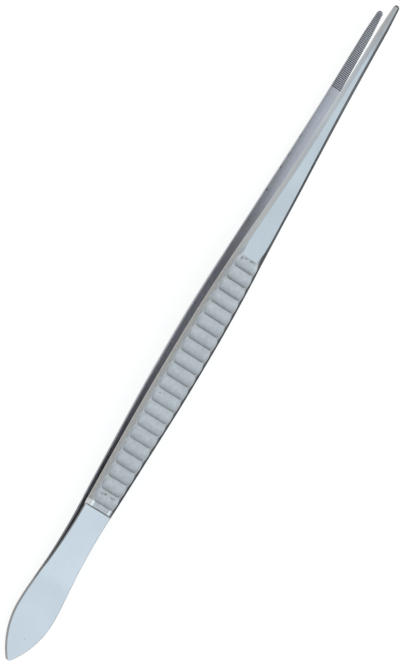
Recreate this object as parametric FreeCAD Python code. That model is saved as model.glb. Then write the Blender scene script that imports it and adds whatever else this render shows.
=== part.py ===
import FreeCAD, Part
import math
import os

from FreeCAD import Vector

# Thumb forceps of the plain dressing pattern, 250 mm long. Two forged steel blades are welded
# face to face at a leaf-shaped heel, spring apart from the end of the weld, carry fluted
# finger grips on their backs and end in narrow jaws with cross-cut teeth inside.
#
# Millimetres. A blade is drawn in the frame of the tool: X from the heel's point to the
# tips, Y across, Z out of the face where the two blades meet. The tool is then tipped and
# lifted into the pose in which it lies on the back of its lower blade, with the origin
# on the table under the middle of its box.

# Lengths along the tool
tool_length = 250.0
heel_peak = 17.6            # heel's point to its widest place
weld_length = 28.0
neck_position = 50.6        # narrowest place of the spring
grip_start = 55.6
grip_land = 1.7             # flat strip between the step and the first flute
jaw_length = 31.3           # toothed length of each jaw

# Flutes across the grip
flute_count = 20
flute_pitch = 4.677
flute_depth = 0.62
flute_end_margin = 2.75     # from the blade's side to where the flute starts to close

# Teeth across the jaws
tooth_pitch = 0.65
tooth_depth = 0.26
tooth_flat = 0.08           # width left on each crest
jaw_plain_end = 0.4         # smooth end past the last tooth

# Widths
heel_width = 13.2
heel_point_radius = 1.2
weld_end_width = 12.0       # where the leaf starts to narrow quickly
waist_position = 36.0       # halfway down the curve from the heel to the neck
waist_width = 10.4
neck_width = 9.45
spring_end_width = 9.7      # at the foot of the step
grip_start_width = 10.0
grip_rear_width = 11.4      # a quarter of the way along the grip
grip_width = 12.25          # at its middle, the widest place
grip_front_width = 12.0     # three quarters of the way
grip_end_width = 10.1
arm_rear_width = 7.97
arm_middle_width = 5.96
arm_front_width = 4.67
jaw_root_width = 3.77
jaw_end_width = 2.6
nose_flank = 9.0            # length over which the nose narrows to its round end
nose_radius = 1.0

# Thicknesses
strip_thickness = 1.35      # heel and spring
grip_rise = 1.15            # step up to the grip
arm_thickness = 2.3
jaw_root_thickness = 1.95
jaw_end_thickness = 1.6
nose_drop_radius = 1.3      # round of the nose seen from the side

# Height of the inner face above the plane where the blades meet
bend_height = 0.84          # just past the weld
bend_position = 36.0
step_height = 2.31          # at the start of the grip
spring_end_slope = 0.042    # rise of the spring where it meets the grip
grip_rear_height = 3.02
grip_middle_height = 4.05
grip_front_height = 4.76
grip_end_height = 5.45
arm_rear_height = 6.5
arm_height = 7.3            # at the middle of the arm, where the bow ends
jaw_height = 7.02

# Edges of the blade's back: a round along the grip, a flat bevel along the arm
side_wall = 0.6
arm_wall = 1.3
jaw_wall = 0.75
shoulder_width = 2.1
bevel_width = 1.05
jaw_shoulder_width = 0.95
roundness = 1.0             # 1 is a quarter round, 0 a flat bevel
shoulder_flats = 5          # narrow flats that the round is filed in

# Places that follow
flutes_start = grip_start + grip_land
grip_end = flutes_start + flute_count * flute_pitch
grip_middle = (grip_start + grip_end) / 2
jaw_start = tool_length - jaw_length
arm_middle = (grip_end + jaw_start) / 2
grip_thickness = strip_thickness + grip_rise
reach = heel_width          # half width of the cutters, well clear of the blade
spring_span_count = 4       # spans between the points or sections that shape each stretch
grip_span_count = 10
arm_span_count = 5
jaw_span_count = 2
arm_samples = 20            # places tried as resting points in each span of the arm
cutting_turns = 3           # the flutes are cut in turns, so that no two cutters of a turn meet


def quarter(start, end):
    """Place a quarter of the way from start to end."""
    return start + (end - start) / 4


def spread(start, end, count):
    """Places that divide the way from start to end into equal spans, both ends included."""
    return [start + (end - start) * i / count for i in range(count + 1)]


# Each list gives a measure at chosen places along the blade, heel to tip
WIDTHS = [
    (grip_start, grip_start_width),
    (quarter(grip_start, grip_end), grip_rear_width),
    (grip_middle, grip_width),
    (quarter(grip_end, grip_start), grip_front_width),
    (grip_end, grip_end_width),
    (quarter(grip_end, jaw_start), arm_rear_width),
    (arm_middle, arm_middle_width),
    (quarter(jaw_start, grip_end), arm_front_width),
    (jaw_start, jaw_root_width),
    (tool_length, jaw_end_width),
]
HEIGHTS = [
    (weld_length, 0.0),
    (bend_position, bend_height),
    (grip_start, step_height),
    (quarter(grip_start, grip_end), grip_rear_height),
    (grip_middle, grip_middle_height),
    (quarter(grip_end, grip_start), grip_front_height),
    (grip_end, grip_end_height),
    (quarter(grip_end, jaw_start), arm_rear_height),
    (arm_middle, arm_height),
    (jaw_start, jaw_height),
    (tool_length, jaw_height),
]
THICKNESSES = [
    (grip_start, grip_thickness),
    (grip_end, grip_thickness),
    (arm_middle, arm_thickness),
    (jaw_start, jaw_root_thickness),
    (tool_length, jaw_end_thickness),
]
WALLS = [
    (grip_start, side_wall),
    (grip_end, side_wall),
    (arm_middle, arm_wall),
    (tool_length, jaw_wall),
]
SHOULDERS = [
    (grip_start, shoulder_width),
    (grip_end, shoulder_width),
    (arm_middle, bevel_width),
    (tool_length, jaw_shoulder_width),
]
ROUNDNESS = [
    (grip_start, roundness),
    (grip_end - flute_pitch, roundness),
    (grip_end + flute_pitch, 0.0),
    (arm_middle, 0.0),
    (jaw_start, roundness / 2),
    (tool_length, roundness),
]


def mean_slope(before, after):
    """Slope at a station: level at a peak, a dip or the end of a level stretch."""
    return (before + after) / 2 if before * after > 0 else 0.0


def along(stations, x, first_slope=None):
    """Smooth value at x through the stations, a cubic that never runs past them."""
    last = len(stations) - 1
    slopes = [(stations[i + 1][1] - stations[i][1]) / (stations[i + 1][0] - stations[i][0])
              for i in range(last)]
    tangents = [slopes[0] if first_slope is None else first_slope]
    tangents += [mean_slope(before, after) for before, after in zip(slopes, slopes[1:])]
    tangents.append(slopes[-1])
    i = 0
    while i < last - 1 and x > stations[i + 1][0]:
        i += 1
    (x0, v0), (x1, v1) = stations[i], stations[i + 1]
    span = x1 - x0
    u = min(max((x - x0) / span, 0.0), 1.0)
    return ((1 + 2 * u) * (1 - u) ** 2 * v0 + u * (1 - u) ** 2 * span * tangents[i]
            + u * u * (3 - 2 * u) * v1 - u * u * (1 - u) * span * tangents[i + 1])


def inner_height(x):
    """Height of the inner face, which leaves the weld without a corner."""
    return along(HEIGHTS, x, first_slope=0.0)


def back_height(x):
    return inner_height(x) + along(THICKNESSES, x)


def prism(edges, travel):
    """Solid swept straight from the closed outline that the edges make."""
    face = Part.Face(Part.Wire(Part.__sortEdges__(edges)))
    return face.extrude(travel)


def curve_through(points, start_direction, end_direction):
    """Smooth edge through the points, with set directions at both ends."""
    curve = Part.BSplineCurve()
    curve.interpolate(Points=points, InitialTangent=start_direction, FinalTangent=end_direction)
    return curve.toShape()


def polyline(points):
    return [Part.makeLine(a, b) for a, b in zip(points, points[1:])]


def heel_outline():
    """Half of the heel and spring seen from above: a rounded point, an arch, then a waist."""
    half = heel_width / 2
    tip = heel_point_radius
    arch_radius = ((heel_peak - tip) ** 2 + half ** 2 - tip ** 2) / (2 * (half - tip))
    arch_centre = Vector(heel_peak, half - arch_radius, 0)
    lean = math.atan2(heel_peak - tip, arch_radius - half)

    def on_circle(centre, radius, angle):
        return centre + Vector(-radius * math.sin(angle), radius * math.cos(angle), 0)

    point_centre = Vector(tip, 0, 0)
    joint = on_circle(arch_centre, arch_radius, lean)
    peak = Vector(heel_peak, half, 0)
    point = Part.Arc(Vector(0, 0, 0), on_circle(point_centre, tip, (lean + math.pi / 2) / 2), joint)
    arch = Part.Arc(joint, on_circle(arch_centre, arch_radius, lean / 2), peak)
    waist_points = [
        peak,
        Vector(weld_length, weld_end_width / 2, 0),
        Vector(waist_position, waist_width / 2, 0),
        Vector(neck_position, neck_width / 2, 0),
        Vector(grip_start, spring_end_width / 2, 0),
    ]
    widening = (grip_start_width - neck_width) / 2 / (grip_start - weld_length)
    waist = curve_through(waist_points, Vector(1, 0, 0), Vector(1, widening, 0))
    return [point.toShape(), arch.toShape(), waist]


def mirrored(edges):
    return [edge.mirror(Vector(0, 0, 0), Vector(0, 1, 0)) for edge in edges]


def heel_and_spring():
    """Thin strip with the leaf-shaped heel, flat along the weld and bent away past it."""
    side = heel_outline()
    end_half = spring_end_width / 2
    end = Part.makeLine(Vector(grip_start, end_half, 0), Vector(grip_start, -end_half, 0))
    leaf = prism(side + mirrored(side) + [end], Vector(0, 0, step_height + grip_thickness))

    places = spread(weld_length, grip_start, spring_span_count)
    lower = [Vector(x, -reach, inner_height(x)) for x in places]
    lift = Vector(0, 0, strip_thickness)
    upper = [point + lift for point in lower]
    start = Vector(0, -reach, 0)
    flat = Vector(1, 0, 0)
    rising = Vector(1, 0, spring_end_slope)
    edges = [
        Part.makeLine(start, lower[0]),
        curve_through(lower, flat, rising),
        Part.makeLine(lower[-1], upper[-1]),
        curve_through(upper, flat, rising),
        Part.makeLine(upper[0], start + lift),
        Part.makeLine(start + lift, start),
    ]
    strip = prism(edges, Vector(0, 2 * reach, 0))
    return leaf.common(strip)


def section(x):
    """Cross-section of the grip, arm or jaw: flat inside, walls, shoulders and a flat back."""
    half = along(WIDTHS, x) / 2
    inner = inner_height(x)
    back = back_height(x)
    wall_top = inner + along(WALLS, x)
    shoulder = along(SHOULDERS, x)
    bulge = along(ROUNDNESS, x)
    left = [(half, inner)]
    for i in range(shoulder_flats + 1):
        share = i / shoulder_flats
        turn = share * math.pi / 2
        inward = share + bulge * (1 - math.cos(turn) - share)
        upward = share + bulge * (math.sin(turn) - share)
        left.append((half - shoulder * inward, wall_top + (back - wall_top) * upward))
    right = [(-y, z) for y, z in reversed(left)]
    return Part.makePolygon([Vector(x, y, z) for y, z in left + right + left[:1]])


def grip_arm_and_jaw():
    """One smooth body through the cross-sections, from the step to the tip."""
    places = spread(grip_start, grip_end - flute_pitch, grip_span_count)
    places += spread(grip_end + flute_pitch, jaw_start, arm_span_count)
    places += spread(jaw_start, tool_length, jaw_span_count)[1:]
    return Part.makeLoft([section(x) for x in places], True)


def flute_cutter(start, end, straight_half):
    """Long round-ended cutter that grinds the flute between two cusps down to its depth."""
    half_width = (end - start).Length / 2
    radius = (half_width ** 2 + flute_depth ** 2) / (2 * flute_depth)
    floor_direction = (end - start).normalize()
    out = Vector(-floor_direction.z, 0, floor_direction.x)
    centre = (start + end) * 0.5 + out * (radius - flute_depth)
    across = Vector(0, 1, 0)
    left, right = centre + across * straight_half, centre - across * straight_half
    left_pole, right_pole = left + across * radius, right - across * radius
    slant = radius * math.sqrt(0.5)
    left_end = Part.Arc(left + out * radius, left + (out + across) * slant, left_pole)
    right_end = Part.Arc(right_pole, right + (out - across) * slant, right + out * radius)
    outline = [left_end.toShape(), right_end.toShape()]
    outline += polyline([left_pole, right_pole]) + polyline([right + out * radius, left + out * radius])
    face = Part.Face(Part.Wire(Part.__sortEdges__(outline)))
    return face.revolve(centre, across, 360)


def flute_cutters():
    """Row of cutters whose flutes meet in cusps on the back of the grip."""
    cusps = [Vector(x, 0, back_height(x)) for x in spread(flutes_start, grip_end, flute_count)]
    cutters = []
    for start, end in zip(cusps, cusps[1:]):
        half = along(WIDTHS, (start.x + end.x) / 2) / 2
        cutters.append(flute_cutter(start, end, half - flute_end_margin))
    return cutters


def tooth_cutter():
    """Comb of V grooves that cuts the teeth into the inner face of the jaw."""
    count = int((jaw_length - jaw_plain_end) / tooth_pitch)
    points = []
    for i in range(count):
        groove = jaw_start + i * tooth_pitch
        groove_end = groove + tooth_pitch - tooth_flat
        bottom = (groove + groove_end) / 2
        points.append(Vector(groove, -reach, inner_height(groove)))
        points.append(Vector(bottom, -reach, inner_height(bottom) + tooth_depth))
        points.append(Vector(groove_end, -reach, inner_height(groove_end)))
    clear = Vector(0, 0, -tooth_depth)
    outline = points + [points[-1] + clear, points[0] + clear, points[0]]
    return prism(polyline(outline), Vector(0, 2 * reach, 0))


def nose_envelope():
    """Space that the blade may fill: round at the nose from above and from the side."""
    flank_start = tool_length - nose_flank
    flank_half = along(WIDTHS, flank_start) / 2
    flank_end = tool_length - nose_radius
    top = back_height(tool_length) + grip_thickness
    before_heel = -heel_point_radius
    outline = [
        Vector(flank_end, nose_radius, 0), Vector(flank_start, flank_half, 0),
        Vector(flank_start, reach, 0), Vector(before_heel, reach, 0),
        Vector(before_heel, -reach, 0), Vector(flank_start, -reach, 0),
        Vector(flank_start, -flank_half, 0), Vector(flank_end, -nose_radius, 0),
    ]
    round_end = Part.Arc(outline[-1], Vector(tool_length, 0, 0), outline[0])
    plan = prism(polyline(outline) + [round_end.toShape()], Vector(0, 0, top))

    drop_place = tool_length - nose_drop_radius
    back = back_height(drop_place)
    cut_in = nose_drop_radius * (1 - math.sqrt(0.5))
    drop_start = Vector(drop_place, -reach, back)
    drop_middle = Vector(tool_length - cut_in, -reach, back - cut_in)
    drop_end = Vector(tool_length, -reach, back - nose_drop_radius)
    side_outline = [
        drop_end, Vector(tool_length, -reach, 0), Vector(before_heel, -reach, 0),
        Vector(before_heel, -reach, top), Vector(drop_place, -reach, top), drop_start,
    ]
    drop = Part.Arc(drop_start, drop_middle, drop_end)
    side = prism(polyline(side_outline) + [drop.toShape()], Vector(0, 2 * reach, 0))
    return plan.common(side)


def make_blade():
    blade = heel_and_spring().fuse(grip_arm_and_jaw())
    blade = blade.common(nose_envelope())
    cutters = flute_cutters()
    for turn in range(cutting_turns):
        blade = blade.cut(cutters[turn::cutting_turns])
    blade = blade.cut(tooth_cutter())
    return blade


def resting_feet(centre_x):
    """The two points of the lower blade's back that it lies on, either side of its middle."""
    cusps = spread(flutes_start, grip_end, flute_count)
    arm = spread(grip_end, tool_length, arm_span_count * arm_samples)
    points = [(0.0, strip_thickness)] + [(x, back_height(x)) for x in cusps + arm]
    best = None
    for x0, z0 in points:
        for x1, z1 in points:
            if x0 < centre_x <= x1:
                slope = (z1 - z0) / (x1 - x0)
                sticks_out = max(z - z0 - slope * (x - x0) for x, z in points)
                if best is None or sticks_out < best[0]:
                    best = (sticks_out, Vector(x0, 0, -z0), Vector(x1, 0, -z1))
    return best[1], best[2]


def lay_down(blades):
    """Tip the tool so that it lies on those two points, its box centred on the origin."""
    first, second = resting_feet(blades[0].CenterOfGravity.x)
    across = second - first
    tilt = math.degrees(math.atan2(across.z, across.x))
    for blade in blades:
        blade.rotate(first, Vector(0, 1, 0), tilt)
    boxes = [blade.optimalBoundingBox(False) for blade in blades]
    middle = (min(box.XMin for box in boxes) + max(box.XMax for box in boxes)) / 2
    floor = min(box.ZMin for box in boxes)
    for blade in blades:
        blade.translate(Vector(-middle, 0, -floor))
    print("tilt", round(tilt, 3), "feet", round(first.x, 2), round(second.x, 2))


def main():
    os.makedirs("parts", exist_ok=True)
    upper = make_blade()
    lower = upper.mirror(Vector(0, 0, 0), Vector(0, 0, 1))
    lay_down([upper, lower])
    for name, blade in (("upper_blade", upper), ("lower_blade", lower)):
        print(name, "valid", blade.isValid(), "solids", len(blade.Solids), "volume", round(blade.Volume, 1))
        blade.exportStep("parts/" + name + ".step")


main()
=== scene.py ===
"""Thumb forceps of the plain dressing pattern: two satin steel blades welded at a leaf-shaped
heel, with fluted grips, long bevelled arms and narrow toothed jaws.

Each blade is a fine skin over its CAD solid, drawn in millimetres in the frame of the tool:
X from the heel's point to the tips, Y across, Z out of the face where the blades meet.
Geometry Nodes grind the flutes and cut the teeth. The finished blade is then laid down in
the pose of the CAD model, in metres.
"""

import math

import bmesh
import bpy
from mathutils import Matrix, Vector


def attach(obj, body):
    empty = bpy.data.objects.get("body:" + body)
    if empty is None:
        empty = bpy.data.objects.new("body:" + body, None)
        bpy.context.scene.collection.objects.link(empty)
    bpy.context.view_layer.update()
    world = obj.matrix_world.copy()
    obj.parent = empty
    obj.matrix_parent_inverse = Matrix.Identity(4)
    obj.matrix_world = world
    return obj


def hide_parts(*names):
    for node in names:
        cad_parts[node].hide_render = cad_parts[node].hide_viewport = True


# Sizes of the tool in millimetres, the same as the solids have
TOOL_LENGTH = 250.0
HEEL_POINT_RADIUS = 0.8     # a little sharper than on the solid
HEEL_PEAK = 17.6            # heel's point to its widest place
HEEL_WIDTH = 13.2
WELD_LENGTH = 28.0
STRIP = 1.35                # thickness of the heel and spring
GRIP_START = 55.6
FLUTES_START = 57.3
FLUTE_COUNT = 20
FLUTE_PITCH = 4.677
FLUTE_DEPTH = 0.62
FLUTE_END_MARGIN = 2.75     # from the blade's side to where a flute's end starts to close
JAW_START = 218.7
TOOTH_PITCH = 0.65
TOOTH_DEPTH = 0.26
TOOTH_FLAT = 0.08           # width left on each crest
TOOTH_COUNT = 47
NOSE_RADIUS = 1.0           # round of the nose from above
NOSE_DROP = 1.3             # round of the nose seen from the side
NOSE_FLANK = 9.0            # length over which the nose narrows to its round end
GRIP_END = FLUTES_START + FLUTE_COUNT * FLUTE_PITCH
GRIP_MIDDLE = (GRIP_START + GRIP_END) / 2
ARM_MIDDLE = (GRIP_END + JAW_START) / 2

# Softened edges, and how far the flutes stray from the same form
EDGE = 0.22                 # round of the heel's and spring's outer edges
INNER_EDGE = 0.12           # round of the edge of the inner face
CUSP_SOFTNESS = 0.06
FLUTE_DEPTH_STRAY = 0.05
FLUTE_END_STRAY = 0.06

# The pose in which the CAD model lies, and the photograph's view of it
HEEL_POINT = Vector((-125.024142, 0.0, 2.733097))
TILT = math.radians(2.1695121)
VIEW_TARGET = Vector((-0.00211745, -0.00001742, 0.00734013))
VIEW_BACK = Vector((-0.192694, 0.255622, 0.947379))
VIEW_UP = Vector((0.851439, 0.523484, 0.031934))
VIEW_DISTANCE = 0.8
PIXELS_PER_METRE = 3058.0
PICTURE_HEIGHT = 663


def quarter(start, end):
    return start + (end - start) / 4


# Measures at chosen places along the blade, heel to tip: half widths of the strip and of the
# rest, height of the inner face, thickness, side wall, width of the shoulder and how round it is
STRIP_HALVES = [
    (HEEL_PEAK, HEEL_WIDTH / 2), (WELD_LENGTH, 6.0), (36.0, 5.2), (50.6, 4.725), (GRIP_START, 4.85),
]
HALVES = [
    (GRIP_START, 5.0), (quarter(GRIP_START, GRIP_END), 5.7), (GRIP_MIDDLE, 6.125),
    (quarter(GRIP_END, GRIP_START), 6.0), (GRIP_END, 5.05),
    (quarter(GRIP_END, JAW_START), 3.985), (ARM_MIDDLE, 2.98),
    (quarter(JAW_START, GRIP_END), 2.335), (JAW_START, 1.885), (TOOL_LENGTH, 1.3),
]
HEIGHTS = [
    (WELD_LENGTH, 0.0), (36.0, 0.84), (GRIP_START, 2.31), (quarter(GRIP_START, GRIP_END), 3.02),
    (GRIP_MIDDLE, 4.05), (quarter(GRIP_END, GRIP_START), 4.76), (GRIP_END, 5.45),
    (quarter(GRIP_END, JAW_START), 6.5), (ARM_MIDDLE, 7.3), (JAW_START, 7.02),
    (TOOL_LENGTH, 7.02),
]
THICKNESSES = [
    (GRIP_START, 2.5), (GRIP_END, 2.5), (ARM_MIDDLE, 2.3), (JAW_START, 1.95), (TOOL_LENGTH, 1.6),
]
WALLS = [(GRIP_START, 0.6), (GRIP_END, 0.6), (ARM_MIDDLE, 1.3), (TOOL_LENGTH, 0.75)]
SHOULDERS = [
    (GRIP_START, 2.1), (GRIP_END, 2.1), (GRIP_END + FLUTE_PITCH, 1.5),
    (quarter(GRIP_END, JAW_START), 1.2), (ARM_MIDDLE, 1.1), (JAW_START, 1.2), (TOOL_LENGTH, 1.05),
]
ROUNDNESS = [
    (GRIP_START, 1.0), (GRIP_END - FLUTE_PITCH, 1.0), (GRIP_END + FLUTE_PITCH, 0.2),
    (ARM_MIDDLE, 0.05), (JAW_START, 0.05), (TOOL_LENGTH, 0.4),
]

# The step up to the grip: distance before the grip, and the share of the step climbed there
STEP_ROWS = [
    (0.62, 0.0), (0.45, 0.02), (0.3, 0.07), (0.2, 0.15), (0.12, 0.28), (0.05, 0.6), (0.0, 0.88),
    (-0.04, 0.95), (-0.11, 0.99),
]
STEP_FOOT_SHARE = 0.1       # the foot ends and the wall starts at this share of the step
STEP_WALL_SHARE = 0.7       # the wall ends at this one

# How bright the steel is made at places along the blade, 1 for plain polished steel: on the inner
# faces painted shade between the blades, which are also a little duller; on the shoulders the grip's
# duller ground steel, then a painted highlight along the arm and jaw; on the back a brightness that
# varies along the arm and is lower at the jaw's end
INNER_SHADE_AND_DULLNESS = [
    (0.0, 0.8), (WELD_LENGTH, 0.45), (GRIP_START, 0.6), (82.0, 0.8), (115.0, 0.98), (138.0, 0.93),
    (157.0, 0.85), (175.0, 0.81), (241.0, 0.81), (TOOL_LENGTH, 0.66),
]
# painted highlight on the shoulders of the arm and jaw; on the grip, duller ground steel with painted shade
# as on its back
SHOULDER_GRIND_AND_HIGHLIGHT = [
    (GRIP_START, 0.76), (GRIP_END - 10, 0.76), (GRIP_END + 12, 1.04), (185.0, 1.0),
    (212.0, 1.2), (JAW_START, 1.2), (230.0, 1.08), (TOOL_LENGTH, 1.0),
]
BACK_TONES = [
    (GRIP_END, 0.95), (170.0, 0.91), (184.0, 0.98), (226.0, 0.98), (236.0, 0.74), (TOOL_LENGTH, 0.78),
]
GROUND_SHARES = [(GRIP_END, 0.0), (226.0, 0.0), (238.0, 0.8), (TOOL_LENGTH, 0.8)]

# How bright single surfaces are, on the same scale
# painted shade: the heel's walls, low over the floor, face the tool's own shadow there
HEEL_WALL_SHADE = 0.4
SPRING_WALL_TONE = 0.2
# painted shade, with some dirt, in the corner at the foot of the step up to the grip and on its wall
STEP_FOOT_DIRT_AND_SHADE = 0.75
STEP_WALL_DIRT_AND_SHADE = 0.45
# painted highlight on the shoulder of the short land before the first flute
LAND_SHOULDER_HIGHLIGHT = 1.27
# duller ground steel of the grip, darkened further with painted shade in its flutes
GRIP_BACK_GRIND_AND_SHADE = 0.76
# painted highlight on the teeth's crests and painted shade in their valleys
CREST_HIGHLIGHT = 1.25
VALLEY_SHADE = 0.15
JAW_END_SHADE = 0.6         # smooth end past the last tooth, 0 as a crest and 1 as a valley
MARK_TONE = 0.35
WALL_REACH = 0.08           # how far the tone of a wall goes on over its edge

# Colours of the steel where it is polished, where it is ground, and on the inner face
POLISHED_TINT = (0.59, 0.62, 0.63, 1)
GROUND_TINT = (0.60, 0.605, 0.595, 1)
INNER_TINT = (0.605, 0.6, 0.625, 1)

# Small dark marks of use, each a place and a reach in the frame of the tool
MARKS = [
    ((8.5, -1.0, 1.35), (0.4, 0.16, 0.4)),
    ((60.6, 2.0, 4.6), (0.6, 0.9, 0.7)),
    ((61.0, 0.9, 4.6), (0.5, 0.8, 0.7)),
    ((61.0, -1.9, 4.6), (0.5, 1.1, 0.7)),
    ((98.1, 2.8, 5.9), (0.35, 0.4, 0.7)),
    ((149.6, 2.3, 7.5), (0.8, 0.6, 0.7)),
    ((150.2, 1.0, 7.5), (0.45, 0.9, 0.7)),
    ((150.3, -1.3, 7.5), (0.4, 1.4, 0.7)),
    ((176.5, 3.0, -7.0), (0.7, 0.45, 0.6)),
    ((185.8, 2.7, -7.3), (0.9, 0.3, 0.6)),
    ((190.8, 2.5, -7.3), (1.2, 0.3, 0.6)),
    ((198.3, 2.3, -7.2), (0.9, 0.3, 0.6)),
]

# The studio's light, as stops from -1 to 1 of the direction's height, of its share along the
# tool and of its share across it, with another share across for light from below the horizon
HEIGHT_LIGHT = [
    (-1.0, 0.8), (-0.1, 0.72), (0.12, 0.66), (0.6, (0.93, 1.03, 1.12)), (1.0, (0.97, 1.08, 1.19)),
]
LENGTHWISE_LIGHT = [
    (-0.95, 1.12), (-0.6, 1.1), (-0.2, 1.12), (-0.03, 1.06), (0.1, 0.99), (0.25, 0.98),
    (0.45, 0.93), (0.7, 0.68), (0.87, 0.3), (1.0, 0.05),
]
ACROSS_LIGHT = [
    (-1.0, 0.14), (-0.93, 0.25), (-0.82, 0.62), (-0.6, 0.95), (0.2, 1.0),
    (0.45, (0.82, 0.79, 0.76)), (0.65, (0.58, 0.55, 0.52)), (0.76, (0.62, 0.59, 0.57)),
    (0.88, (0.98, 0.95, 0.95)), (1.0, (1.12, 1.08, 1.04)),
]
LOW_ACROSS_LIGHT = [
    (-1.0, (0.17, 0.172, 0.182)), (-0.6, (0.28, 0.284, 0.3)), (-0.3, 0.9), (0.2, 1.0), (1.0, 1.05),
]
HORIZON = [(-0.25, 0.0), (0.2, 1.0)]

FLOOR_HALF = 4.0
FLOOR_COLOUR = (0.3, 0.29, 0.28, 1)
FLOOR_GLOW = 0.8

# Where the columns of a blade's skin lie across each of its surfaces, as shares
FACE_COLUMNS = (0.0, 0.35, 0.68, 0.9, 1.0)
CORNER_TURNS = (30.0, 60.0, 90.0)
WALL_COLUMNS = (0.4, 0.85)
SHOULDER_COLUMNS = (0.0, 0.06, 0.14, 0.23, 0.32, 0.41, 0.49, 0.56, 0.61, 0.65, 0.69, 0.73,
                    0.77, 0.81, 0.85, 0.89, 0.93, 0.965, 1.0)
BACK_COLUMNS = (0.97, 0.94, 0.91, 0.88, 0.85, 0.82, 0.79, 0.75, 0.69, 0.6, 0.45, 0.3, 0.15, 0.0)

# Where its rows lie: turns round the heel's point, stretches of the strip as start, end and
# spacing, shares of each flute, and turns round the nose past its first one
POINT_TURNS = range(0, 76, 8)
STRIP_ROWS = [(1.1, 4.0, 0.3), (4.0, 27.4, 0.7), (27.4, GRIP_START - STEP_ROWS[0][0], 0.6)]
FLUTE_ROWS = (0.0, 0.01, 0.022, 0.038, 0.06, 0.09, 0.13, 0.18, 0.24, 0.31, 0.39, 0.47,
              0.55, 0.63, 0.7, 0.76, 0.82, 0.87, 0.91, 0.94, 0.962, 0.978, 0.99)
NOSE_TURNS = [38, 50, 60, 69, 77, 84, 90]
CREASE = 0.05               # a row this close to another keeps the crease between them sharp


def mean_slope(before, after):
    """Slope at a station: level at a peak, a dip or the end of a level stretch."""
    return (before + after) / 2 if before * after > 0 else 0.0


def along(stations, x, first_slope=None):
    """Smooth value at x through the stations, a cubic that never runs past them."""
    last = len(stations) - 1
    slopes = [(b[1] - a[1]) / (b[0] - a[0]) for a, b in zip(stations, stations[1:])]
    tangents = [slopes[0] if first_slope is None else first_slope]
    tangents += [mean_slope(before, after) for before, after in zip(slopes, slopes[1:])]
    tangents.append(slopes[-1])
    i = 0
    while i < last - 1 and x > stations[i + 1][0]:
        i += 1
    (x0, v0), (x1, v1) = stations[i], stations[i + 1]
    span = x1 - x0
    u = min(max((x - x0) / span, 0.0), 1.0)
    return ((1 + 2 * u) * (1 - u) ** 2 * v0 + u * (1 - u) ** 2 * span * tangents[i]
            + u * u * (3 - 2 * u) * v1 - u * u * (1 - u) * span * tangents[i + 1])


def mix(a, b, share):
    return a + (b - a) * share


def inner_height(x):
    return along(HEIGHTS, x, first_slope=0.0)


def heel_half(x):
    """Half width of the heel and spring: a rounded point, an arch, then a waist."""
    if x >= HEEL_PEAK:
        return along(STRIP_HALVES, x, first_slope=0.0)
    half, tip = HEEL_WIDTH / 2, HEEL_POINT_RADIUS
    arch = ((HEEL_PEAK - tip) ** 2 + half ** 2 - tip ** 2) / (2 * (half - tip))
    lean = math.atan2(HEEL_PEAK - tip, arch - half)
    if x < tip - tip * math.sin(lean):
        return math.sqrt(max(tip ** 2 - (x - tip) ** 2, 0.0))
    return half - arch + math.sqrt(arch ** 2 - (HEEL_PEAK - x) ** 2)


def blade_half(x):
    """Half width of the grip, arm and jaw, with the rounded nose."""
    half = along(HALVES, x)
    flank = TOOL_LENGTH - NOSE_FLANK
    nose = TOOL_LENGTH - NOSE_RADIUS
    if x > nose:
        return min(half, math.sqrt(max(NOSE_RADIUS ** 2 - (x - nose) ** 2, 0.0)))
    if x > flank:
        return min(half, mix(along(HALVES, flank), NOSE_RADIUS, (x - flank) / (nose - flank)))
    return half


def back_height(x):
    """Height of the blade's back, which drops in a round at the nose."""
    drop = TOOL_LENGTH - NOSE_DROP
    if x <= drop:
        return inner_height(x) + along(THICKNESSES, x)
    top = inner_height(drop) + along(THICKNESSES, drop)
    return top - NOSE_DROP + math.sqrt(max(NOSE_DROP ** 2 - (x - drop) ** 2, 0.0))


def half_section(x, rise):
    """Outline of the left half, from the middle of the inner face round to the middle of the back.

    rise is 0 on the spring, 1 on the grip and beyond, and between them on the step's wall.
    """
    inner = inner_height(x)
    half, thickness, wall, shoulder, bulge = 0.0, 0.0, 0.0, 0.0, 1.0
    if rise < 1:
        half = heel_half(x)
        edge = min(EDGE, 0.7 * half)
        thickness, wall, shoulder = STRIP, STRIP - edge, edge
    if rise > 0:
        grip = (blade_half(x), back_height(x) - inner, along(WALLS, x), along(SHOULDERS, x))
        if rise < 1:
            grip = [mix(a, b, rise) for a, b in zip((half, thickness, wall, shoulder), grip)]
        half, thickness, wall, shoulder = grip
        bulge = along(ROUNDNESS, x)
    # At the nose and at the heel's point, edges shrink with the blade
    shoulder = min(shoulder, 0.92 * half)
    wall = min(wall, 0.6 * thickness) if x > TOOL_LENGTH - NOSE_DROP else wall
    corner = min(INNER_EDGE, 0.5 * half)
    points = [(share * (half - corner), inner) for share in FACE_COLUMNS]
    for turn in CORNER_TURNS:
        a = math.radians(turn)
        points.append((half - corner + corner * math.sin(a), inner + corner * (1 - math.cos(a))))
    points += [(half, inner + mix(corner, wall, share)) for share in WALL_COLUMNS]
    for share in SHOULDER_COLUMNS:
        turn = share * math.pi / 2
        inward = share + bulge * (1 - math.cos(turn) - share)
        upward = share + bulge * (math.sin(turn) - share)
        points.append((half - shoulder * inward, inner + wall + (thickness - wall) * upward))
    points += [(share * (half - shoulder), inner + thickness) for share in BACK_COLUMNS]
    return points


def even(start, end, step):
    """Evenly spaced places from start to just before end, about step apart."""
    count = max(1, round((end - start) / step))
    return [mix(start, end, i / count) for i in range(count)]


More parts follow.
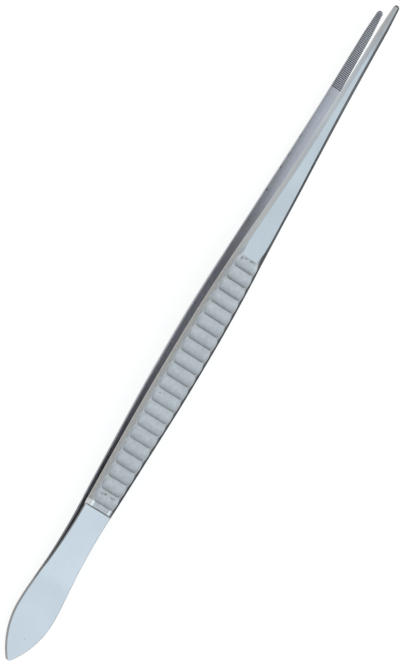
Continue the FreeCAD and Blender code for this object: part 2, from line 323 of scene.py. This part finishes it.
def blade_rows():
    """Places of the skin's rows as (x, rise), closer together where the form turns quickly."""
    tip = HEEL_POINT_RADIUS
    rows = [(tip * (1 - math.cos(math.radians(turn))), 0.0) for turn in POINT_TURNS]
    for stretch in STRIP_ROWS:
        rows += [(x, 0.0) for x in even(*stretch)]
    rows += [(GRIP_START - back, rise) for back, rise in STEP_ROWS]
    rows += [(x, 1.0) for x in even(GRIP_START + 0.2, FLUTES_START - 0.1, 0.3)]
    rows.append((FLUTES_START - CREASE, 1.0))
    for i in range(FLUTE_COUNT):
        rows += [(FLUTES_START + (i + share) * FLUTE_PITCH, 1.0) for share in FLUTE_ROWS]
    rows += [(x, 1.0) for x in (GRIP_END, GRIP_END + CREASE)]
    rows += [(x, 1.0) for x in even(GRIP_END + 0.2, JAW_START - 0.1, 0.8)]
    rows.append((JAW_START - CREASE, 1.0))
    groove = TOOTH_PITCH - TOOTH_FLAT
    for i in range(TOOTH_COUNT):
        start = JAW_START + i * TOOTH_PITCH
        rows += [(start, 1.0), (start + groove / 2, 1.0), (start + groove, 1.0)]
    teeth_end = JAW_START + TOOTH_COUNT * TOOTH_PITCH
    drop = TOOL_LENGTH - NOSE_DROP
    first_turn = math.degrees(math.asin((teeth_end + 0.1 - drop) / NOSE_DROP))
    rows += [(drop + NOSE_DROP * math.sin(math.radians(turn)), 1.0) for turn in [first_turn] + NOSE_TURNS]
    return rows


def outer_tone(x, rise, from_side):
    """How bright the steel is made outside: 1 for plain steel, with painted shade and highlights."""
    if rise == 0:
        if from_side > WALL_REACH:
            return 1.0
        return HEEL_WALL_SHADE if x < WELD_LENGTH - 1 else SPRING_WALL_TONE
    if rise < STEP_FOOT_SHARE:
        return STEP_FOOT_DIRT_AND_SHADE
    if rise < STEP_WALL_SHARE:
        return STEP_WALL_DIRT_AND_SHADE
    if from_side < along(SHOULDERS, x):
        return along(SHOULDER_GRIND_AND_HIGHLIGHT, x) if x > FLUTES_START else LAND_SHOULDER_HIGHLIGHT
    return GRIP_BACK_GRIND_AND_SHADE if x <= GRIP_END else along(BACK_TONES, x)


def ground_share(x):
    """How much of the steel's outside is ground and not polished: the grip, and the jaw's end."""
    if x < GRIP_START - CREASE:
        return 0.0
    return 1.0 if x <= GRIP_END else along(GROUND_SHARES, x)


def blade_blank(name):
    """The blade before its flutes and teeth, with what the grinding and the steel need to know."""
    rows = blade_rows()
    points, backs, halves, grounds, tones, faces = [], [], [], [], [], []
    for x, rise in rows:
        left = half_section(x, rise)
        right = [(-y, z) for y, z in reversed(left[1:-1])]
        loop = left + right
        points += [(x, y, z) for y, z in loop]
        backs += [left[-1][1]] * len(loop)
        halves += [max(y for y, _ in left)] * len(loop)
        grounds += [ground_share(x)] * len(loop)
        tones += [outer_tone(x, rise, halves[-1] - abs(y)) for y, _ in loop]
    width = len(points) // len(rows)
    for row in range(len(rows) - 1):
        for column in range(width):
            a, b = row * width + column, row * width + (column + 1) % width
            faces.append((a, a + width, b + width, b))
    mesh = bpy.data.meshes.new(name)
    mesh.from_pydata(points, [], faces)
    skin = bmesh.new()
    skin.from_mesh(mesh)
    height = skin.verts.layers.float.new("back_height")
    half_width = skin.verts.layers.float.new("half_width")
    inside = skin.verts.layers.float.new("inner_face")
    ground = skin.verts.layers.float.new("ground")
    polish_and_painted_light = skin.verts.layers.float.new("polish_and_painted_light")
    edge_column = len(FACE_COLUMNS) + len(CORNER_TURNS) - 1
    for vertex in skin.verts:
        i = vertex.index
        column = i % width
        is_inner = column < edge_column or column > width - edge_column
        vertex[height] = backs[i]
        vertex[half_width] = halves[i]
        vertex[inside] = 1.0 if is_inner else 0.0
        vertex[ground] = 0.0 if is_inner else grounds[i]
        # painted shade between the blades inside; painted shade and highlights outside, with the grip's
        # duller ground steel
        vertex[polish_and_painted_light] = along(INNER_SHADE_AND_DULLNESS, vertex.co.x) if is_inner else tones[i]
    bmesh.ops.remove_doubles(skin, verts=skin.verts, dist=1e-5)
    bmesh.ops.dissolve_degenerate(skin, dist=1e-6, edges=skin.edges)
    bmesh.ops.recalc_face_normals(skin, faces=skin.faces)
    for face in skin.faces:
        face.smooth = True
    skin.to_mesh(mesh)
    skin.free()
    blank = bpy.data.objects.new(name, mesh)
    bpy.context.scene.collection.objects.link(blank)
    return blank


def add_node(tree, kind, inputs=(), **settings):
    """A new node of the tree, with its settings, and its inputs linked or given a value."""
    made = tree.nodes.new(kind)
    for key, value in settings.items():
        setattr(made, key, value)
    for socket, value in dict(inputs).items():
        if isinstance(value, bpy.types.NodeSocket):
            tree.links.new(value, made.inputs[socket])
        else:
            made.inputs[socket].default_value = value
    return made


class NodeTree:
    """A Geometry Nodes tree with named inputs, written as short steps."""

    def __init__(self, name, inputs):
        self.tree = bpy.data.node_groups.new(name, "GeometryNodeTree")
        sockets = self.tree.interface
        sockets.new_socket("Geometry", in_out="INPUT", socket_type="NodeSocketGeometry")
        self.names = {}
        for title, kind, value in inputs:
            socket = sockets.new_socket(title, in_out="INPUT", socket_type="NodeSocket" + kind)
            if value is not None:
                socket.default_value = value
            self.names[title] = socket.identifier
        sockets.new_socket("Geometry", in_out="OUTPUT", socket_type="NodeSocketGeometry")
        self.start = self.node("NodeGroupInput")
        self.end = self.node("NodeGroupOutput")

    def given(self, title):
        return self.start.outputs[title]

    def node(self, kind, inputs=(), **settings):
        return add_node(self.tree, kind, inputs, **settings)

    def math(self, operation, *values):
        return self.node("ShaderNodeMath", dict(enumerate(values)), operation=operation).outputs[0]

    def attribute(self, name):
        made = self.node("GeometryNodeInputNamedAttribute", {"Name": name}, data_type="FLOAT")
        return made.outputs["Attribute"]

    def position(self):
        where = self.node("GeometryNodeInputPosition")
        return self.node("ShaderNodeSeparateXYZ", {"Vector": where.outputs[0]}).outputs

    def chance(self, number, seed, least, most):
        """A random value for each number, the same in every run."""
        made = self.node("FunctionNodeRandomValue", {2: least, 3: most, "ID": number, "Seed": seed},
                         data_type="FLOAT")
        return made.outputs[1]

    def shift(self, geometry, height):
        """Moves every point along Z by its own height."""
        offset = self.node("ShaderNodeCombineXYZ", {"Z": height})
        return self.node("GeometryNodeSetPosition", {
            "Geometry": geometry, "Offset": offset.outputs[0]}).outputs[0]

    def keep(self, geometry, name, value):
        store = self.node("GeometryNodeStoreNamedAttribute",
                          {"Geometry": geometry, "Name": name, "Value": value},
                          data_type="FLOAT", domain="POINT")
        return store.outputs[0]

    def finish(self, geometry):
        real = self.node("GeometryNodeRealizeInstances", {"Geometry": geometry})
        dressed = self.node("GeometryNodeSetMaterial", {
            "Geometry": real.outputs[0], "Material": self.given("Material")})
        self.tree.links.new(dressed.outputs[0], self.end.inputs["Geometry"])
        return self


def flute_tree():
    """Grinds a row of round-ended flutes across the back of the grip, none quite like the next."""
    tree = NodeTree("grip flutes", [
        ("First Cusp", "Float", FLUTES_START), ("Pitch", "Float", FLUTE_PITCH),
        ("Count", "Int", FLUTE_COUNT), ("Depth", "Float", FLUTE_DEPTH),
        ("End Margin", "Float", FLUTE_END_MARGIN), ("Edge Softness", "Float", CUSP_SOFTNESS),
        ("Unevenness", "Float", FLUTE_DEPTH_STRAY), ("Seed", "Int", 4), ("Material", "Material", None)])
    x, y, z = tree.position()
    place = tree.math("DIVIDE", tree.math("SUBTRACT", x, tree.given("First Cusp")), tree.given("Pitch"))
    number = tree.math("FLOOR", place)
    fraction = tree.math("SUBTRACT", place, number)
    # The cutter is a cylinder across the blade with a ball at each end
    half_pitch = tree.math("MULTIPLY", tree.given("Pitch"), 0.5)
    chord = tree.math("MULTIPLY_ADD", half_pitch, half_pitch,
                      tree.math("MULTIPLY", tree.given("Depth"), tree.given("Depth")))
    radius = tree.math("DIVIDE", chord, tree.math("MULTIPLY", tree.given("Depth"), 2.0))
    run = tree.math("MULTIPLY", tree.math("SUBTRACT", fraction, 0.5), tree.given("Pitch"))
    stray = tree.chance(number, tree.math("ADD", tree.given("Seed"), 1.0),
                        1.0 - FLUTE_END_STRAY, 1.0 + FLUTE_END_STRAY)
    margin = tree.math("MULTIPLY", tree.given("End Margin"), stray)
    straight = tree.math("SUBTRACT", tree.attribute("half_width"), margin)
    beyond = tree.math("MAXIMUM", tree.math("SUBTRACT", tree.math("ABSOLUTE", y), straight), 0.0)
    reach = tree.math("MULTIPLY_ADD", run, run, tree.math("MULTIPLY", beyond, beyond))
    drop = tree.math("SQRT", tree.math("SUBTRACT", tree.math("MULTIPLY", radius, radius), reach))
    rise = tree.math("SUBTRACT", radius, drop)
    deep = tree.chance(number, tree.given("Seed"), tree.math("SUBTRACT", 1.0, tree.given("Unevenness")), 1.0)
    depth = tree.math("MULTIPLY", tree.given("Depth"), deep)
    floor = tree.math("SUBTRACT", tree.attribute("back_height"), depth)
    cut = tree.math("ADD", floor, rise)
    ground = tree.math("SMOOTH_MIN", z, cut, tree.given("Edge Softness"))
    after = tree.math("GREATER_THAN", place, -0.0001)
    before = tree.math("LESS_THAN", place, tree.math("ADD", tree.given("Count"), 0.0001))
    within = tree.math("MULTIPLY", after, before)
    fall = tree.math("MULTIPLY", within, tree.math("SUBTRACT", z, ground))
    return tree.finish(tree.shift(tree.given("Geometry"), tree.math("MULTIPLY", fall, -1.0)))


def tooth_tree():
    """Cuts V grooves across the inner face of the jaw, and turns the blade over for the lower one."""
    tree = NodeTree("jaw teeth", [
        ("First Groove", "Float", JAW_START), ("Pitch", "Float", TOOTH_PITCH),
        ("Count", "Int", TOOTH_COUNT), ("Depth", "Float", TOOTH_DEPTH),
        ("Crest Flat", "Float", TOOTH_FLAT), ("Lower Blade", "Bool", False),
        ("Material", "Material", None)])
    x, _, _ = tree.position()
    place = tree.math("DIVIDE", tree.math("SUBTRACT", x, tree.given("First Groove")), tree.given("Pitch"))
    place = tree.math("ADD", place, 0.0001)
    fraction = tree.math("FRACT", place)
    groove = tree.math("SUBTRACT", 1.0, tree.math("DIVIDE", tree.given("Crest Flat"), tree.given("Pitch")))
    share = tree.math("MINIMUM", tree.math("DIVIDE", fraction, groove), 1.0)
    valley = tree.math("SUBTRACT", 1.0, tree.math("ABSOLUTE", tree.math("MULTIPLY_ADD", share, 2.0, -1.0)))
    jaw_face = tree.math("MULTIPLY", tree.math("GREATER_THAN", place, 0.0), tree.attribute("inner_face"))
    within = tree.math("MULTIPLY", jaw_face, tree.math("LESS_THAN", place, tree.given("Count")))
    lift = tree.math("MULTIPLY", tree.math("MULTIPLY", valley, tree.given("Depth")), within)
    # Painted highlight on the crests and painted shade in the valleys, with the smooth end past the last
    # tooth between them
    end = tree.math("MULTIPLY", tree.math("GREATER_THAN", place, tree.given("Count")), JAW_END_SHADE)
    painted_tooth_shade = tree.math("MULTIPLY_ADD", tree.math("MAXIMUM", valley, end),
                         CREST_HIGHLIGHT - VALLEY_SHADE, 1.0 - CREST_HIGHLIGHT)
    polish_and_painted_light = tree.math("SUBTRACT", 1.0, tree.math("MULTIPLY", painted_tooth_shade, jaw_face))
    kept = tree.keep(tree.given("Geometry"), "tooth", jaw_face)
    kept = tree.keep(kept, "polish_and_painted_light", tree.math("MULTIPLY", polish_and_painted_light, tree.attribute("polish_and_painted_light")))
    toothed = tree.shift(kept, lift)
    over = tree.node("GeometryNodeTransform", {"Geometry": toothed, "Scale": (1.0, 1.0, -1.0)})
    flipped = tree.node("GeometryNodeFlipFaces", {"Mesh": over.outputs[0]})
    choice = tree.node("GeometryNodeSwitch", {
        "Switch": tree.given("Lower Blade"), "False": toothed, "True": flipped.outputs[0]},
        input_type="GEOMETRY")
    return tree.finish(choice.outputs[0])


def add_step(blank, tree, **inputs):
    """Adds the tree to the blade as a modifier, with inputs set by their names."""
    step = blank.modifiers.new(tree.tree.name, "NODES")
    step.node_group = tree.tree
    for title, value in inputs.items():
        step[tree.names[title.replace("_", " ")]] = value


def made_plain(blank):
    """Turns what the node trees made into the object's own mesh."""
    bpy.context.view_layer.update()
    seen = blank.evaluated_get(bpy.context.evaluated_depsgraph_get())
    mesh = bpy.data.meshes.new_from_object(seen)
    blank.modifiers.clear()
    blank.data = mesh
    return mesh


def sharpen_teeth(mesh):
    """The faces of the teeth are flat, all others are smooth."""
    tooth = [item.value for item in mesh.attributes["tooth"].data]
    for face in mesh.polygons:
        face.use_smooth = min(tooth[v] for v in face.vertices) < 0.5


def laid_down():
    """From the frame of the tool in millimetres to the pose of the CAD model in metres."""
    return (Matrix.Scale(0.001, 4) @ Matrix.Translation(HEEL_POINT)
            @ Matrix.Rotation(-TILT, 4, "Y"))


def make_blade(name, lower, steel, flutes, teeth):
    blade = blade_blank(name + "_skin")
    add_step(blade, flutes, Material=steel)
    add_step(blade, teeth, Material=steel, Lower_Blade=lower)
    mesh = made_plain(blade)
    sharpen_teeth(mesh)
    mesh.transform(laid_down())
    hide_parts(name)
    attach(blade, "root")


def shader(material_name):
    material = bpy.data.materials.new(material_name)
    material.use_nodes = True
    material.node_tree.nodes.clear()
    return material


def satin_steel():
    """Stainless steel with a fine satin grain along the blade, warmer and mottled where it is ground."""
    material = shader("satin_steel")

    def node(kind, inputs=(), **settings):
        return add_node(material.node_tree, kind, inputs, **settings)

    def share_of(value, start, end, at_start, at_end):
        return node("ShaderNodeMapRange", {"Value": value, "From Min": start, "From Max": end,
                                           "To Min": at_start, "To Max": at_end}).outputs[0]

    def combined(operation, a, b):
        return node("ShaderNodeMath", {0: a, 1: b}, operation=operation).outputs[0]

    def vector(operation, a, b):
        return node("ShaderNodeVectorMath", {0: a, 1: b}, operation=operation).outputs[0]

    def noise(at, scale, detail):
        return node("ShaderNodeTexNoise", {"Vector": at, "Scale": scale, "Detail": detail}).outputs[0]

    def attribute(name):
        return node("ShaderNodeAttribute", attribute_name=name).outputs["Fac"]

    def blend(share, a, b):
        return node("ShaderNodeMix", {0: share, 6: a, 7: b}, data_type="RGBA").outputs[2]

    # Millimetres in the frame of the tool
    where = node("ShaderNodeTexCoord").outputs["Object"]
    heel = Matrix.Rotation(TILT, 3, "Y") @ HEEL_POINT
    place = node("ShaderNodeMapping", {"Vector": where, "Scale": (1000, 1000, 1000),
                                       "Rotation": (0, TILT, 0), "Location": -heel}).outputs[0]
    grain_place = node("ShaderNodeMapping", {"Vector": place, "Scale": (0.06, 2.6, 2.6)}).outputs[0]
    grain = noise(grain_place, 1.0, 3.0)
    cloud = noise(place, 0.09, 4.0)
    fine = noise(place, 2.4, 2.0)

    # How bright the steel is: clouds all over, a mottle where it is ground, the painted shade and highlights
    # carried on the blade's points, and the marks of use
    ground = attribute("ground")
    mottle = combined("MULTIPLY", share_of(noise(place, 0.7, 3.0), 0.35, 0.65, -0.06, 0.06), ground)
    tone = combined("ADD", share_of(cloud, 0.3, 0.7, 0.97, 1.03), mottle)
    tone = combined("MULTIPLY", tone, attribute("polish_and_painted_light"))
    blots = None
    for centre, reach in MARKS:
        away = vector("DIVIDE", vector("SUBTRACT", place, centre), reach)
        away = node("ShaderNodeVectorMath", {0: away}, operation="LENGTH").outputs["Value"]
        blot = share_of(away, 0.5, 1.0, 1.0, 0.0)
        blots = blot if blots is None else combined("MAXIMUM", blots, blot)
    ragged = combined("MULTIPLY", blots, share_of(fine, 0.4, 0.6, 0.2, 1.0))
    tone = combined("MULTIPLY", tone, share_of(ragged, 0.0, 1.0, 1.0, MARK_TONE))

    tint = blend(ground, POLISHED_TINT, GROUND_TINT)
    tint = blend(attribute("inner_face"), tint, INNER_TINT)
    colour = node("ShaderNodeVectorMath", {0: tint, "Scale": tone}, operation="SCALE").outputs[0]
    roughness = share_of(grain, 0.3, 0.7, 0.26, 0.36)
    bump = node("ShaderNodeBump", {"Height": grain, "Strength": 0.12, "Distance": 0.00002}).outputs[0]
    bump = node("ShaderNodeBump", {
        "Height": fine, "Strength": 0.1, "Distance": 0.00001, "Normal": bump}).outputs[0]
    steel = node("ShaderNodeBsdfPrincipled", {
        "Base Color": colour, "Metallic": 1.0, "Roughness": roughness, "Normal": bump})
    out = node("ShaderNodeOutputMaterial", {"Surface": steel.outputs[0]})
    out.is_active_output = True
    return material


def pale_floor():
    """White table that glows a little, so that it stays white in the photograph's soft light."""
    half = FLOOR_HALF
    mesh = bpy.data.meshes.new("floor")
    mesh.from_pydata([(-half, -half, 0), (half, -half, 0), (half, half, 0), (-half, half, 0)],
                     [], [(0, 1, 2, 3)])
    floor = bpy.data.objects.new("floor", mesh)
    bpy.context.scene.collection.objects.link(floor)
    material = shader("pale_floor")
    paint = add_node(material.node_tree, "ShaderNodeBsdfPrincipled", {
        "Base Color": FLOOR_COLOUR, "Roughness": 0.9,
        "Emission Color": (1, 1, 1, 1), "Emission Strength": FLOOR_GLOW})
    add_node(material.node_tree, "ShaderNodeOutputMaterial", {"Surface": paint.outputs[0]})
    mesh.materials.append(material)
    floor.visible_glossy = False


def studio_light():
    """Soft light all round, bluish overhead, dim beyond the tips, warm on the left and dark on the right."""
    world = bpy.data.worlds.new("studio")
    bpy.context.scene.world = world
    world.use_nodes = True
    world.node_tree.nodes.clear()

    def node(kind, inputs=(), **settings):
        return add_node(world.node_tree, kind, inputs, **settings)

    def ramp(value, points):
        """Brightness or colour for a value from -1 to 1, smooth between the given stops."""
        share = node("ShaderNodeMath", {0: value, 1: 0.5, 2: 0.5}, operation="MULTIPLY_ADD")
        made = node("ShaderNodeValToRGB", {"Fac": share.outputs[0]})
        stops = made.color_ramp.elements
        made.color_ramp.interpolation = "EASE"
        while len(stops) < len(points):
            stops.new(0.5)
        for stop, (place, level) in zip(stops, points):
            stop.position = place * 0.5 + 0.5
            tint = level if isinstance(level, tuple) else (level, level, level)
            stop.color = (*tint, 1)
        return made.outputs[0]

    def tinted(a, b):
        return node("ShaderNodeVectorMath", {0: a, 1: b}, operation="MULTIPLY").outputs[0]

    direction = node("ShaderNodeTexCoord").outputs["Generated"]
    x, y, z = node("ShaderNodeSeparateXYZ", {"Vector": direction}).outputs
    across = node("ShaderNodeMix", {
        0: ramp(z, HORIZON), 6: ramp(y, LOW_ACROSS_LIGHT), 7: ramp(y, ACROSS_LIGHT)},
        data_type="RGBA").outputs[2]
    light = tinted(tinted(ramp(z, HEIGHT_LIGHT), ramp(x, LENGTHWISE_LIGHT)), across)
    sky = node("ShaderNodeBackground", {"Color": light, "Strength": 1.0})
    node("ShaderNodeOutputWorld", {"Surface": sky.outputs[0]})


def photograph_camera():
    """Camera that stands where the photograph was taken from, with its scale."""
    camera = bpy.data.objects.new("camera", bpy.data.cameras.new("camera"))
    bpy.context.scene.collection.objects.link(camera)
    right = VIEW_UP.cross(VIEW_BACK)
    turn = Matrix((right, VIEW_UP, VIEW_BACK)).transposed().to_4x4()
    camera.matrix_world = Matrix.Translation(VIEW_TARGET + VIEW_BACK * VIEW_DISTANCE) @ turn
    lens = camera.data
    lens.sensor_fit = "VERTICAL"
    lens.sensor_height = 24.0
    lens.lens = PIXELS_PER_METRE * VIEW_DISTANCE * lens.sensor_height / PICTURE_HEIGHT
    lens.clip_start = 0.05
    lens.clip_end = 10.0
    bpy.context.scene.camera = camera


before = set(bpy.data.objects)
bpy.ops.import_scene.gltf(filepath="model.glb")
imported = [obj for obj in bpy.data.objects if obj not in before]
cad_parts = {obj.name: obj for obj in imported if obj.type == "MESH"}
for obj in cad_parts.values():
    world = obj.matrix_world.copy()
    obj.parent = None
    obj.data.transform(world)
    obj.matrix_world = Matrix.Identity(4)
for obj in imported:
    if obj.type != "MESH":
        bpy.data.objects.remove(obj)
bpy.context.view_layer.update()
steel = satin_steel()
flutes = flute_tree()
teeth = tooth_tree()
make_blade("upper_blade", False, steel, flutes, teeth)
make_blade("lower_blade", True, steel, flutes, teeth)
pale_floor()
studio_light()
photograph_camera()
bpy.context.scene.view_settings.view_transform = "Standard"
